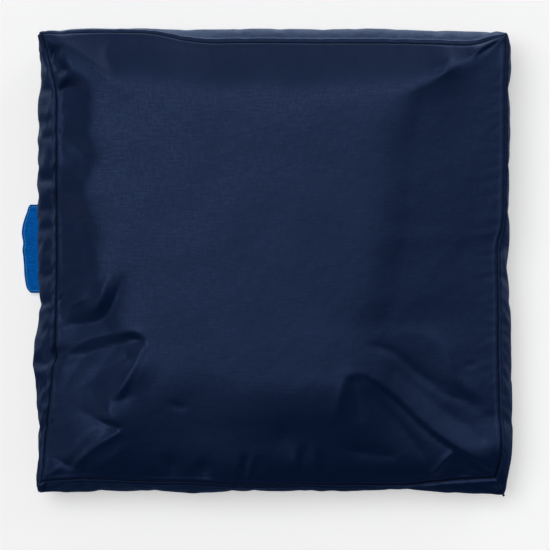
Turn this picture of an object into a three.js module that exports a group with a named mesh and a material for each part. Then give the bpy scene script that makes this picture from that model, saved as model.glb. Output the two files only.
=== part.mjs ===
// Outdoor floor cushion: a square box cushion in coated cloth, loosely filled and lying flat,
// with a cloth tab sewn into its lower seam.
// Millimetres, +Z up. The origin is on the floor, under the middle of the cushion.
// Seen from above, with +X to the right and +Y up, the sides are south, east, north and west.

import * as THREE from "three";
import { mergeGeometries, mergeVertices } from "three/addons/utils/BufferGeometryUtils.js";

// Plan sizes over the widest part of the bulging sides
const WIDTH = 598;
const DEPTH = 582;

// Heights above the floor
const TOP_SEAM_HEIGHT = 86;
const WAIST_HEIGHT = 47;
const BASE_SEAM_HEIGHT = 14;

// The crown is a gently domed plateau above the top seam, with a slope of its own length to each side
const CROWN_RISE = 33;
const CROWN_DOME = 6;
const SLOPE_LENGTH = { south: 150, east: 175, north: 62, west: 72 };
const HIP_ROUNDING = 0.28;

// The seam is a groove between two soft lips
const LIP_HEIGHT = 5;
const LIP_REACH = 8;

// How far the seam's ups and downs reach into the top panel
const SEAM_PULL = 45;

// The base seam, and the corners of the flat face that the cushion rests on, lie this far inside the
// widest outline. The edges of that face bow out between its corners.
const BASE_SEAM_INSET = 20;
const FOOT_INSET = 76;
const FOOT_BOW = 14;

// The tab, measured out from the base seam
const TAB_LENGTH = 113;
const TAB_REACH = 41;
const TAB_TIP_CURVE = 11;
const TAB_CENTRE_Y = 16;
const TAB_THICKNESS = 2;
const TAB_TIP_HEIGHT = 6;
const TAB_RIPPLE = 1.2;
const TAB_GAP = 1;

// Mesh density: columns along each side, rows down the side band and rows under its edge
const COLUMNS = 48;
const BAND_ROWS = 9;
const BASE_ROWS = 3;
const EDGE_CROWDING = 0.4;

const table = (columns, rows) =>
  rows.map((row) => Object.fromEntries(columns.map((name, k) => [name, row[k]])));

// Each corner: how far inside the widest outline it lies along X and Y, at the top seam, the waist and
// the base seam, and how far the seam's corner is lifted. A negative inset is an ear that sticks out.
const CORNERS = Object.fromEntries(
  table(
    ["name", "signX", "signY", "seamX", "seamY", "lift", "waistX", "waistY", "baseX", "baseY"],
    [
      ["SW", -1, -1, 6, 13, -7, 3, 2, 11, 11],
      ["SE", 1, -1, 11, 14, -7, 9, -3, 15, 8],
      ["NE", 1, 1, 8, 7, -2, 5, 5, 14, 14],
      ["NW", -1, 1, 9, 7, 1, 3, 5, 13, 14],
    ],
  ).map((corner) => [corner.name, corner]),
);

// Sections along each side, at a distance in X or Y from the middle: how far the top seam is drawn in
// from the widest outline, how far it is lifted, and how far the waist is drawn in (less than 0 bulges)
const SECTIONS = table(
  ["side", "at", "seam", "lift", "waist"],
  [
    ["south", -250, 17, -3, 1],
    ["south", -105, 14, 0, -2],
    ["south", -50, 10, 1, 2],
    ["south", 40, 10, 2, 0],
    ["south", 165, 8, -1, 3],
    ["south", 262, 21, -5, -2],
    ["east", -255, 11, -4, 1],
    ["east", -190, 15, -1, -2],
    ["east", -20, 18, 0, 2],
    ["east", 25, 17, -3, 0],
    ["east", 60, 10, 1, 2],
    ["east", 245, 10, 1, -1],
    ["north", -245, 8, 1, 1],
    ["north", -150, 11, 2, -1],
    ["north", -85, 18, 0, 0],
    ["north", 120, 18, 0, -1],
    ["north", 250, 20, -2, 3],
    ["west", -255, 9, -5, 1],
    ["west", -205, 14, -3, 1],
    ["west", -150, 23, -1, -3],
    ["west", -126, 31, -4, -5],
    ["west", -104, 25, 0, -3],
    ["west", -60, 26, 1, 0],
    ["west", 165, 28, 1, 0],
    ["west", 240, 21, -1, 4],
  ],
);

// Main folds of the top panel, each along a straight line. Its rise fades out on the left and on the
// right of that line over two widths, so that one flank can be steeper. A rise below 0 is a trough.
const FOLDS = table(
  ["fromX", "fromY", "toX", "toY", "left", "right", "rise"],
  [
    [-275, 280, -170, 200, 16, 16, 6],
    [-268, 216, -228, 214, 13, 13, -6],
    [290, 284, 175, 220, 17, 15, 6],
    [232, 270, 210, 236, 12, 12, -4],
    [140, -138, 288, -272, 18, 13, 8],
    [108, -144, 232, -248, 13, 13, -6],
    [118, -100, 250, -178, 14, 16, -5],
    [94, -146, 112, -232, 22, 14, -6],
    [-160, -92, -212, -162, 22, 13, 8],
    [-210, -152, -196, -220, 13, 16, 6],
    [-190, -210, -258, -270, 14, 13, 8],
    [-160, -104, -262, -150, 14, 18, -9],
    [-192, -214, -274, -186, 17, 13, -8],
    [-182, -14, -272, -130, 12, 12, -6],
    [-158, -16, -252, -108, 13, 12, 5],
    [-176, -232, -240, -274, 13, 13, 4],
  ],
);
const FOLD_FADE = 0.3;

const HALF = { x: WIDTH / 2, y: DEPTH / 2 };

// The sides in anticlockwise order, with the axis each runs along and the axis it faces
const SIDES = [
  { name: "south", along: "x", faces: "y", sign: -1, from: "SW", to: "SE" },
  { name: "east", along: "y", faces: "x", sign: 1, from: "SE", to: "NE" },
  { name: "north", along: "x", faces: "y", sign: 1, from: "NE", to: "NW" },
  { name: "west", along: "y", faces: "x", sign: -1, from: "NW", to: "SW" },
];

const { lerp, smoothstep, clamp } = THREE.MathUtils;

// Where a mesh column lies along a side, from 0 to 1, with columns closer together at the corners
function spread(step, steps) {
  const even = (2 * step) / steps - 1;
  const crowded = lerp(even, Math.sin((even * Math.PI) / 2), EDGE_CROWDING);
  return (crowded + 1) / 2;
}

const LEVELS = {
  seam: { height: TOP_SEAM_HEIGHT, inset: (row) => row.seam, lift: (row) => row.lift },
  waist: { height: WAIST_HEIGHT, inset: (row) => row.waist, lift: () => 0 },
  base: { height: BASE_SEAM_HEIGHT, inset: () => BASE_SEAM_INSET, lift: () => 0 },
};

function cornerAt(level, name) {
  const corner = CORNERS[name];
  return {
    x: corner.signX * (HALF.x - corner[`${level}X`]),
    y: corner.signY * (HALF.y - corner[`${level}Y`]),
    z: LEVELS[level].height + (level === "seam" ? corner.lift : 0),
  };
}

// A smooth curve of inset and height along one side, at one level, through its corners and sections
function sideCurve(level, side) {
  const { height, inset, lift } = LEVELS[level];
  const ends = [side.from, side.to].map((name) => {
    const corner = cornerAt(level, name);
    return [corner[side.along], HALF[side.faces] - side.sign * corner[side.faces], corner.z];
  });
  const sections = SECTIONS.filter((row) => row.side === side.name);
  const stations = sections.map((row) => [row.at, inset(row), height + lift(row)]);
  const knots = [...ends, ...stations].sort((a, b) => a[0] - b[0]);
  const places = knots.map((knot) => knot[0]);
  const values = knots.flatMap((knot) => [knot[1], knot[2]]);
  return new THREE.CubicInterpolant(places, values, 2);
}

const CURVES = Object.fromEntries(
  Object.keys(LEVELS).map((level) => [level, SIDES.map((side) => sideCurve(level, side))]),
);

// A point on one side's edge at a level, by mesh column
function edgePoint(level, sideNumber, column) {
  const side = SIDES[sideNumber];
  const from = cornerAt(level, side.from);
  const to = cornerAt(level, side.to);
  if (column === 0) return new THREE.Vector3(from.x, from.y, from.z);
  if (column === COLUMNS) return new THREE.Vector3(to.x, to.y, to.z);
  const at = lerp(from[side.along], to[side.along], spread(column, COLUMNS));
  const [inset, height] = CURVES[level][sideNumber].evaluate(at);
  const point = new THREE.Vector3(0, 0, height);
  point[side.along] = at;
  point[side.faces] = side.sign * (HALF[side.faces] - inset);
  return point;
}

// The soft lip beside a seam, at a distance from it
const lip = (distance) => LIP_HEIGHT * (distance / LIP_REACH) * Math.exp(1 - distance / LIP_REACH);

// The crown's height above the seam: the lowest of the four slopes, with its hips a little rounded
function crown(toSides) {
  const slopes = Object.entries(toSides).map(([name, distance]) => {
    const left = 1 - Math.min(distance / SLOPE_LENGTH[name], 1);
    return 1 - left * left;
  });
  const lower = slopes.sort((a, b) => a - b)[0];
  const overlap = Math.max(HIP_ROUNDING - (slopes[1] - lower), 0);
  const rounded = lower - (overlap * overlap) / (4 * HIP_ROUNDING);
  return CROWN_RISE * Math.max(rounded, 0);
}

function foldRise(x, y) {
  return FOLDS.reduce((sum, fold) => {
    const runX = fold.toX - fold.fromX;
    const runY = fold.toY - fold.fromY;
    const length = Math.hypot(runX, runY);
    const along = ((x - fold.fromX) * runX + (y - fold.fromY) * runY) / length ** 2;
    const across = (runX * (y - fold.fromY) - runY * (x - fold.fromX)) / length;
    const width = across > 0 ? fold.left : fold.right;
    const fade = smoothstep(along, 0, FOLD_FADE) * smoothstep(1 - along, 0, FOLD_FADE);
    return sum + fold.rise * fade * Math.exp(-((across / width) ** 2));
  }, 0);
}

// The top panel: a patch stretched between the four seam edges, raised by its crown, lip and folds
function topPoint(column, row) {
  const south = edgePoint("seam", 0, column);
  const east = edgePoint("seam", 1, row);
  const north = edgePoint("seam", 2, COLUMNS - column);
  const west = edgePoint("seam", 3, COLUMNS - row);
  if (row === 0) return south;
  if (row === COLUMNS) return north;
  if (column === 0) return west;
  if (column === COLUMNS) return east;

  const s = spread(column, COLUMNS);
  const t = spread(row, COLUMNS);
  const corners = SIDES.map((side) => cornerAt("seam", side.from));
  const patch = (axis) => {
    const bottom = lerp(corners[0][axis], corners[1][axis], s);
    const top = lerp(corners[3][axis], corners[2][axis], s);
    const acrossEdges = lerp(west[axis], east[axis], s);
    return lerp(south[axis], north[axis], t) + acrossEdges - lerp(bottom, top, t);
  };
  const point = new THREE.Vector3(patch("x"), patch("y"), patch("z"));
  const toSides = {
    south: point.y - south.y,
    east: east.x - point.x,
    north: north.y - point.y,
    west: point.x - west.x,
  };
  const nearest = Math.min(...Object.values(toSides));
  const settle = clamp(nearest / (3 * LIP_REACH), 0, 1);
  point.z = lerp(TOP_SEAM_HEIGHT, point.z, Math.exp(-nearest / SEAM_PULL));
  point.z += CROWN_DOME * 16 * s * (1 - s) * t * (1 - t);
  point.z += crown(toSides) + lip(nearest) + settle * foldRise(point.x, point.y);
  return point;
}

// The side band: a bulging curve from the base seam, through the waist, up to the top seam
function bandPoint(sideNumber, column, row) {
  const seam = edgePoint("seam", sideNumber, column);
  const waist = edgePoint("waist", sideNumber, column);
  const base = edgePoint("base", sideNumber, column);
  if (row === BAND_ROWS) return seam;
  if (row === 0) return base;
  const up = spread(row, BAND_ROWS);
  const point = base
    .clone()
    .multiplyScalar((1 - up) * (1 - 2 * up))
    .addScaledVector(waist, 4 * up * (1 - up))
    .addScaledVector(seam, up * (2 * up - 1));
  const inFromCorner = Math.min(spread(column, COLUMNS), 1 - spread(column, COLUMNS));
  const side = SIDES[sideNumber];
  const fade = smoothstep(inFromCorner, 0, 0.04);
  point[side.faces] += side.sign * 0.7 * fade * lip((1 - up) * TOP_SEAM_HEIGHT);
  return point;
}

// The edge of the flat face that the cushion rests on
function footPoint(sideNumber, column) {
  const side = SIDES[sideNumber];
  const point = edgePoint("base", sideNumber, column);
  const along = spread(column, COLUMNS);
  point.x *= (HALF.x - FOOT_INSET) / (HALF.x - BASE_SEAM_INSET);
  point.y *= (HALF.y - FOOT_INSET) / (HALF.y - BASE_SEAM_INSET);
  point.z = 0;
  point[side.faces] += side.sign * FOOT_BOW * 4 * along * (1 - along);
  return point;
}

// The base panel's margin, which curls up from the resting face to the base seam
function marginPoint(sideNumber, column, row) {
  const foot = footPoint(sideNumber, column);
  const seam = edgePoint("base", sideNumber, column);
  const out = row / BASE_ROWS;
  return new THREE.Vector3(lerp(foot.x, seam.x, out), lerp(foot.y, seam.y, out), seam.z * out * out);
}

// A sheet of mesh whose points are placed by column and row
function sheet(columns, rows, pointAt) {
  const geometry = new THREE.PlaneGeometry(1, 1, columns, rows);
  const { position, uv } = geometry.attributes;
  for (let k = 0; k < position.count; k++) {
    const column = Math.round(uv.getX(k) * columns);
    const row = Math.round(uv.getY(k) * rows);
    const { x, y, z } = pointAt(column, row);
    position.setXYZ(k, x, y, z);
  }
  geometry.setIndex(splitAlongFolds(geometry, columns, rows, pointAt));
  return geometry;
}

// Each square of a sheet is split along the diagonal that lies closer to the true surface
function splitAlongFolds({ attributes }, columns, rows, pointAt) {
  const place = (k) => new THREE.Vector3().fromBufferAttribute(attributes.position, k);
  const triangles = [];
  for (let line = 0; line < rows; line++) {
    for (let column = 0; column < columns; column++) {
      const a = line * (columns + 1) + column;
      const [b, c, d] = [a + columns + 1, a + columns + 2, a + 1];
      const middle = pointAt(column + 0.5, rows - line - 0.5);
      const missAC = place(a).lerp(place(c), 0.5).distanceTo(middle);
      const missBD = place(b).lerp(place(d), 0.5).distanceTo(middle);
      triangles.push(...(missAC < missBD ? [a, b, c, a, c, d] : [a, b, d, b, c, d]));
    }
  }
  return triangles;
}

// A sheet that goes round the four sides
function ring(rows, pointAt) {
  return sheet(SIDES.length * COLUMNS, rows, (column, row) => {
    const sideNumber = Math.floor(column / COLUMNS) % SIDES.length;
    return pointAt(sideNumber, column % COLUMNS, row);
  });
}

// The flat resting face, looking down
function footFace() {
  const rim = SIDES.flatMap((_, sideNumber) =>
    Array.from({ length: COLUMNS }, (_, column) => footPoint(sideNumber, column)),
  );
  const outline = new THREE.Shape(rim.map(({ x, y }) => new THREE.Vector2(x, y)));
  const geometry = new THREE.ShapeGeometry(outline);
  const order = Array.from(geometry.index.array);
  geometry.setIndex(order.reverse());
  return geometry;
}

function weld(geometries) {
  const bare = geometries.map((geometry) => geometry.deleteAttribute("uv").deleteAttribute("normal"));
  const whole = mergeVertices(mergeGeometries(bare), 1e-4);
  whole.computeVertexNormals();
  return whole;
}

function cushionGeometry() {
  return weld([
    sheet(COLUMNS, COLUMNS, topPoint),
    ring(BAND_ROWS, bandPoint),
    ring(BASE_ROWS, marginPoint),
    footFace(),
  ]);
}

// The tab: a strip of cloth that leaves the base seam, droops to the floor and ripples a little
function tabGeometry() {
  const geometry = new THREE.BoxGeometry(1, 2, TAB_THICKNESS, 8, 24, 1);
  const { position } = geometry.attributes;
  for (let k = 0; k < position.count; k++) {
    const out = 0.5 - position.getX(k);
    const along = position.getY(k);
    const reach = out * (TAB_REACH - TAB_TIP_CURVE * Math.abs(along) ** 3);
    const droop = smoothstep(out, 0, 1.1) * (BASE_SEAM_HEIGHT - TAB_TIP_HEIGHT);
    const ripple = TAB_RIPPLE * out * Math.sin(along * 5 + 0.6);
    const x = -HALF.x + BASE_SEAM_INSET - TAB_GAP - reach;
    const y = TAB_CENTRE_Y + (along * TAB_LENGTH) / 2;
    const middle = BASE_SEAM_HEIGHT - TAB_THICKNESS / 2 - droop + ripple;
    position.setXYZ(k, x, y, middle + position.getZ(k));
  }
  return weld([geometry]);
}

function piece(name, geometry, material) {
  const mesh = new THREE.Mesh(geometry, new THREE.MeshStandardMaterial(material));
  mesh.name = name;
  return mesh;
}

const floorCushion = new THREE.Group();
floorCushion.add(
  piece("cushion", cushionGeometry(), { color: 0x1d2a46, roughness: 0.5, metalness: 0 }),
  piece("side_tab", tabGeometry(), { color: 0x04468c, roughness: 0.6, metalness: 0 }),
);

export default floorCushion;
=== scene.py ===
# %% [markdown]
# # An outdoor floor cushion
# The real cushion is two square panels of coated cloth and a long side band, sewn together at two seams
# and loosely filled. This lesson dresses the plain CAD solid of it: a cover with its seams and folds,
# a blue cloth tab, the finishes, a pale floor and soft light.
#
# The CAD solid is loaded first. It fixes the size and the place of everything that follows.

# %% The frame
from collections import namedtuple

import bpy
import numpy as np
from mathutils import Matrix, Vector, noise


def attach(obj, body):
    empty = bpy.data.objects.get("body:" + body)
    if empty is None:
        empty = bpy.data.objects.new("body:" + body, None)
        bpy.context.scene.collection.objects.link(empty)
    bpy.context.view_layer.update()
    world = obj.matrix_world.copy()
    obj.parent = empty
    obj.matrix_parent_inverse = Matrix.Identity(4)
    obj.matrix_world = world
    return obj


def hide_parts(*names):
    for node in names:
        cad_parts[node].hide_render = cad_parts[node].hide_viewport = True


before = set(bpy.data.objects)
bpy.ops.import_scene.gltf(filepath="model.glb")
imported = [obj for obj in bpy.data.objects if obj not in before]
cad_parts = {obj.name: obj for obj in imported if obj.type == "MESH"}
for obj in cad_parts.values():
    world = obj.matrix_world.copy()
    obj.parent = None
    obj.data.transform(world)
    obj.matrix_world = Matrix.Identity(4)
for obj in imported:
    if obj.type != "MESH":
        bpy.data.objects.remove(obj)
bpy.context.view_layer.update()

MM = 0.001

# %% [markdown]
# ## Camera
# The photograph looks straight down. A long lens far above the floor keeps the sides of the cushion from
# leaning outwards in the picture, so the camera stands high. Its lens is worked out from the width that
# the picture takes in at the cushion's waist, the widest line of its sides.

# %% Camera
PICTURE_WIDTH = 696
CAMERA_HEIGHT = 3200
PICTURE_CENTRE = (1.9, -17.7)
WAIST_HEIGHT = 47

camera = bpy.data.objects.new("camera", bpy.data.cameras.new("camera"))
camera.location = (PICTURE_CENTRE[0] * MM, PICTURE_CENTRE[1] * MM, CAMERA_HEIGHT * MM)
camera.data.sensor_width = 36
camera.data.lens = camera.data.sensor_width * (CAMERA_HEIGHT - WAIST_HEIGHT) / PICTURE_WIDTH
bpy.context.scene.collection.objects.link(camera)
bpy.context.scene.camera = camera
print("lens:", round(camera.data.lens), "mm")

# %% [markdown]
# ## The cover's cut
# A box cushion is drawn from two closed lines: the top seam and the base seam. Between them the side band
# bulges out to a waist. Each line is described by its four corners and by sections along each side, in
# millimetres, so that it can be drawn in, lifted or pushed out where the photograph shows it. A section
# says where it is along its side, how far the top seam is drawn in and lifted there, how far the waist is
# drawn in, and how long the slope above the seam is.

# %% Corners and sections
WIDTH, DEPTH = 598, 582
TOP_SEAM_HEIGHT, BASE_SEAM_HEIGHT = 86, 14
BASE_SEAM_INSET = 20
HALF = np.array([WIDTH / 2, DEPTH / 2])

Corner = namedtuple("Corner", "sign_x sign_y seam_x seam_y lift waist_x waist_y base_x base_y")
CORNERS = {
    "SW": Corner(-1, -1, 6, 13, -10, 3, -1, 11, 11),
    "SE": Corner(1, -1, 20, 18, -20, 7, -5.5, 15, 8),
    "NE": Corner(1, 1, 8, 7, -2, 6, 3, 14, 14),
    "NW": Corner(-1, 1, 9, 7, 1, 3, 5, 13, 14),
}

Side = namedtuple("Side", "name along faces sign start end")
SIDES = [
    Side("south", 0, 1, -1, "SW", "SE"),
    Side("east", 1, 0, 1, "SE", "NE"),
    Side("north", 0, 1, 1, "NE", "NW"),
    Side("west", 1, 0, -1, "NW", "SW"),
]

Section = namedtuple("Section", "at seam lift waist slope")
SECTION_ROWS = {
    "south": [
        (-250, 17, -3, -0.5, 74), (-180, 15, -1, 0.5, 95), (-150, 14, -1, 1, 118),
        (-105, 14, 0, -2, 138), (-50, 10, -1, 1, 122), (40, 10, -8, 1.5, 126), (100, 9, -16, 1, 130),
        (165, 9, -20, 3, 122), (225, 15, -20, -2, 114),
    ],
    "east": [
        (-240, 13, -3, -2.3, 165), (-190, 15, -1, -2.5, 172), (-102, 17, 0, -1.6, 172),
        (-80, 17, 0, -1.5, 178), (-46, 17, 0, 1.3, 164), (-13, 18, 0.3, 3.6, 157),
        (24, 17, 0.5, 2, 153), (42, 12, 0.5, 2.5, 157), (70, 10, 1, 3.6, 154), (90, 10, 1, 3.2, 150),
        (117, 9, 1, 3, 147), (138, 9, 1, 2.2, 146), (190, 9, 1, 2.2, 134), (212, 9, 1, 3.2, 127),
        (245, 8, 1, 0.5, 120),
    ],
    "north": [
        (-245, 4.5, -2, 0, 44), (-200, 4, -3, -0.5, 44), (-150, 6, -1, -1, 48), (-110, 14, 0, -1.1, 46),
        (-85, 17, 0, -1.2, 47), (-40, 17, 0, -2.3, 47), (10, 17, 0, -2.6, 50), (60, 17.5, 0, -2, 48),
        (120, 17.5, 0, -2.5, 46), (200, 18.5, -1, -0.5, 43), (250, 19, -2, 0.8, 50),
    ],
    "west": [
        (-258, 9, -9, 3, 66), (-240, 10, -9, 3, 68), (-208, 14, -7, 2.7, 72), (-180, 17, -2, 0.3, 80),
        (-150, 20, -1, -1.8, 72), (-131, 22.5, -2, -4, 78), (-123, 26, -4, -4.5, 84),
        (-104, 25, 0, -3.5, 96), (-84, 25.5, 1, 1.3, 86), (-60, 26, 1, 3.5, 68), (-10, 27, 1, 2, 54),
        (30, 27, 1, 1.5, 47), (48, 27, 1, 1.3, 43), (66, 27, 1, 1.3, 37), (86, 27, 4, 1.3, 35),
        (102, 27, 5, 1.5, 41), (122, 27, 8, 1.6, 47), (158, 27, 8, 2.4, 41), (180, 27, 8, 1.8, 44),
        (214, 26, 6, 4.4, 39), (240, 20, 2, 5.8, 34),
    ],
}
SECTIONS = {side: [Section(*row) for row in rows] for side, rows in SECTION_ROWS.items()}
print("corners:", len(CORNERS), "sections:", sum(len(rows) for rows in SECTIONS.values()))

# %% [markdown]
# A seam lies in an easy line without kinks. So the edge of each side is a smooth curve from corner to corner
# that passes through every section. A cubic curve with a slope at each section does this, and it strays less
# between two sections than one curve of a high degree would.

# %% Seam lines
def through(at, knots, values):
    """A smooth curve through pairs of knot and value, read at many places at once."""
    knots, values = np.asarray(knots, float), np.asarray(values, float)
    slopes = np.gradient(values, knots)
    k = np.clip(np.searchsorted(knots, at) - 1, 0, len(knots) - 2)
    span = knots[k + 1] - knots[k]
    t = np.clip((at - knots[k]) / span, 0, 1)
    leaving = (1 - t) ** 2 * ((1 + 2 * t) * values[k] + t * span * slopes[k])
    arriving = t**2 * ((3 - 2 * t) * values[k + 1] + (t - 1) * span * slopes[k + 1])
    return leaving + arriving


def corner_point(level, name):
    """One corner of the top seam, the waist or the base seam, in millimetres."""
    corner = CORNERS[name]
    inset = np.array([getattr(corner, level + "_x"), getattr(corner, level + "_y")])
    height = {"seam": TOP_SEAM_HEIGHT + corner.lift, "waist": WAIST_HEIGHT, "base": BASE_SEAM_HEIGHT}
    plan = np.array([corner.sign_x, corner.sign_y]) * (HALF - inset)
    return np.array([*plan, height[level]])


def section_values(level, row):
    """A section's place, inset and height at one level."""
    if level == "seam":
        return row.at, row.seam, TOP_SEAM_HEIGHT + row.lift
    if level == "waist":
        return row.at, row.waist, WAIST_HEIGHT
    return row.at, BASE_SEAM_INSET, BASE_SEAM_HEIGHT


def edge(level, side, share):
    """Points along one side at a level, in millimetres, from its start corner to its end corner."""
    start, end = corner_point(level, side.start), corner_point(level, side.end)
    half = HALF[side.faces]
    ends = [(p[side.along], half - side.sign * p[side.faces], p[2]) for p in (start, end)]
    rows = sorted(ends + [section_values(level, row) for row in SECTIONS[side.name]])
    knots, insets, heights = zip(*rows)
    at = start[side.along] + (end - start)[side.along] * share
    points = np.empty((len(share), 3))
    points[:, side.along] = at
    points[:, side.faces] = side.sign * (half - through(at, knots, insets))
    points[:, 2] = through(at, knots, heights)
    return points


south_edge = edge("seam", SIDES[0], np.linspace(0, 1, 60))
print("south edge of the top seam:", round(np.linalg.norm(np.diff(south_edge, axis=0), axis=1).sum()), "mm")

# %% [markdown]
# ## The net of points
# A sewn panel is a patch of cloth stretched between its four edges. In mesh terms that is a Coons patch:
# the two ways of ruling between opposite edges are added, and the plain blend of the corners is taken off.
# Points crowd together beside the seams, where the cloth bends most, and stand about 6 mm apart elsewhere.

# %% Panels
NEAR_SEAM = np.cumsum([0, 1.3, 1.3, 1.4, 1.7, 2.2, 2.9, 3.8, 4.8])
SIDE_LENGTH, SIDE_STEPS = 585, 90
BAND_HEIGHT, BAND_STEPS = 82, 7


def graded(length, steps):
    """Shares along a length, close together at its two ends and even between them."""
    middle = np.linspace(NEAR_SEAM[-1], length - NEAR_SEAM[-1], steps + 1)
    return np.concatenate([NEAR_SEAM[:-1], middle, length - NEAR_SEAM[-2::-1]]) / length


SHARE = graded(SIDE_LENGTH, SIDE_STEPS)
COLUMNS = len(SHARE) - 1


def patch(level):
    """A square net of points between the four edges of a panel. Its rows run along +Y."""
    south, east, north, west = (edge(level, side, SHARE) for side in SIDES)
    north, west = north[::-1], west[::-1]
    s, t = SHARE[None, :, None], SHARE[:, None, None]
    up = south[None] * (1 - t) + north[None] * t
    across = west[:, None] * (1 - s) + east[:, None] * s
    flat = (south[0] * (1 - s) + south[-1] * s) * (1 - t) + (north[0] * (1 - s) + north[-1] * s) * t
    return up + across - flat


def to_sides(net):
    """How far each point of a panel lies from each side's seam, seen from above."""
    x, y = net[..., 0], net[..., 1]
    return {
        "south": y - y[:1],
        "east": x[:, -1:] - x,
        "north": y[-1:] - y,
        "west": x - x[:, :1],
    }


top_net, base_net = patch("seam"), patch("base")
top_reach, base_reach = to_sides(top_net), to_sides(base_net)
top_nearest = np.min(list(top_reach.values()), axis=0)
base_nearest = np.min(list(base_reach.values()), axis=0)
print("top panel:", np.round(np.ptp(top_net[..., 0])), "by", np.round(np.ptp(top_net[..., 1])), "mm")

# %% [markdown]
# ## The crown
# The filling pushes the top panel up into a low plateau. Each side has a slope of its own length, and the
# slopes meet in hips that run to the corners, as on a hipped roof. The slopes on the left are short and
# steep, and the ones on the right and at the bottom are long, where the filling has moved away. A slope
# can have a soft foot at the seam and a shoulder that sags at the plateau's rim, or it can be domed.

# %% Crown
CROWN_RISE, CROWN_DOME = 33, 4
HIP_ROUNDING = 0.1
SEAM_PULL, FOOT_WIDTH = 45, 50

Slope = namedtuple("Slope", "rounding domes soft_foot shoulder shoulder_reach")
DOME_PLACES, DOME_LENGTH, DOME_POWER = (-110, 40), 1.7, 2.3
SOFT_FOOT_END, SHOULDER_START = 1.1, 0.8
SLOPES = {
    "south": Slope(0.15, (1, 0), 0.1, 0, 25),
    "east": Slope(0.15, (0, 0), 0.1, 8, 90),
    "north": Slope(0.5, (0, 0), 0, 2, 25),
    "west": Slope(0.3, (0, 0), 0.3, 10, 42),
}
UNEVEN, UNEVEN_LENGTH, UNEVEN_LAYER, UNEVEN_FADE = 1.1, 62, 0.3, (10, 60)


def smooth_step(value, low, high):
    t = np.clip((value - low) / (high - low), 0, 1)
    return t * t * (3 - 2 * t)


def ramp(share, rounding):
    """Rises evenly from 0 at the seam and rounds over to 1 at the plateau's rim."""
    left = 1 - share
    rounded = 1 - (left + np.sqrt(left**2 + rounding**2)) / 2
    foot = 1 - (1 + np.sqrt(1 + rounding**2)) / 2
    return (rounded - foot) / (1 - foot)


def dome(share):
    """Rises steeply from the seam and levels off slowly, over a longer way than a ramp."""
    return 1 - (1 - np.clip(share / DOME_LENGTH, 0, 1)) ** DOME_POWER


def slope_length(side, at):
    rows = SECTIONS[side.name]
    return through(at, [row.at for row in rows], [row.slope for row in rows])


def crown(net, reach):
    """The rise above the seam: the lowest of the four slopes, with rounded hips between them."""
    slopes, shoulders = [], np.zeros(net.shape[:2])
    for side in SIDES:
        shape = SLOPES[side.name]
        at = np.clip(net[..., side.along], SECTIONS[side.name][0].at, SECTIONS[side.name][-1].at)
        length = slope_length(side, at)
        share = reach[side.name] / length
        domed = np.interp(at, DOME_PLACES, shape.domes)
        firm = domed * dome(share) + (1 - domed) * ramp(share, shape.rounding)
        soft = smooth_step(share, 0, SOFT_FOOT_END)
        slopes.append((1 - shape.soft_foot) * firm + shape.soft_foot * soft)
        past_rim = np.maximum(reach[side.name] - SHOULDER_START * length, 0)
        shoulders -= shape.shoulder * np.exp(-past_rim / shape.shoulder_reach)
    low, next_low = np.sort(slopes, axis=0)[:2]
    overlap = np.maximum(HIP_ROUNDING - (next_low - low), 0)
    lift = np.maximum(low - overlap**2 / (4 * HIP_ROUNDING), 0)
    return lift * (CROWN_RISE + shoulders)


def unevenness(net, nearest):
    """The loose filling lies in low heaps, which fade out towards the seam."""
    plan = net[..., :2].reshape(-1, 2) / UNEVEN_LENGTH
    heaps = np.array([noise.noise((x, y, UNEVEN_LAYER)) for x, y in plan])
    return UNEVEN * heaps.reshape(nearest.shape) * smooth_step(nearest, *UNEVEN_FADE)


s, t = np.meshgrid(SHARE, SHARE)
one_in_the_middle = 16 * s * (1 - s) * t * (1 - t)
seam_height = top_net[..., 2]
top_net[..., 2] = TOP_SEAM_HEIGHT + (seam_height - TOP_SEAM_HEIGHT) * np.exp(-top_nearest / SEAM_PULL)
top_net[..., 2] += crown(top_net, top_reach) + CROWN_DOME * one_in_the_middle
top_net[..., 2] += unevenness(top_net, top_nearest)
base_net[..., 2] *= np.clip(1 - base_nearest / FOOT_WIDTH, 0, 1) ** 2
print("crown:", round(top_net[..., 2].max(), 1), "mm above the floor")

# %% [markdown]
# ## Folds
# Where the filling is thin the cover is too large for what it holds, and it falls into folds. Cloth that
# buckles bends along lines and stays nearly straight between them. So each ridge and each trough is drawn
# as a line of plan points, each with its own rise in millimetres. Three kinds of line differ in how far
# they move the cloth beside them: folds, wide sags and thin creases.

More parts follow.
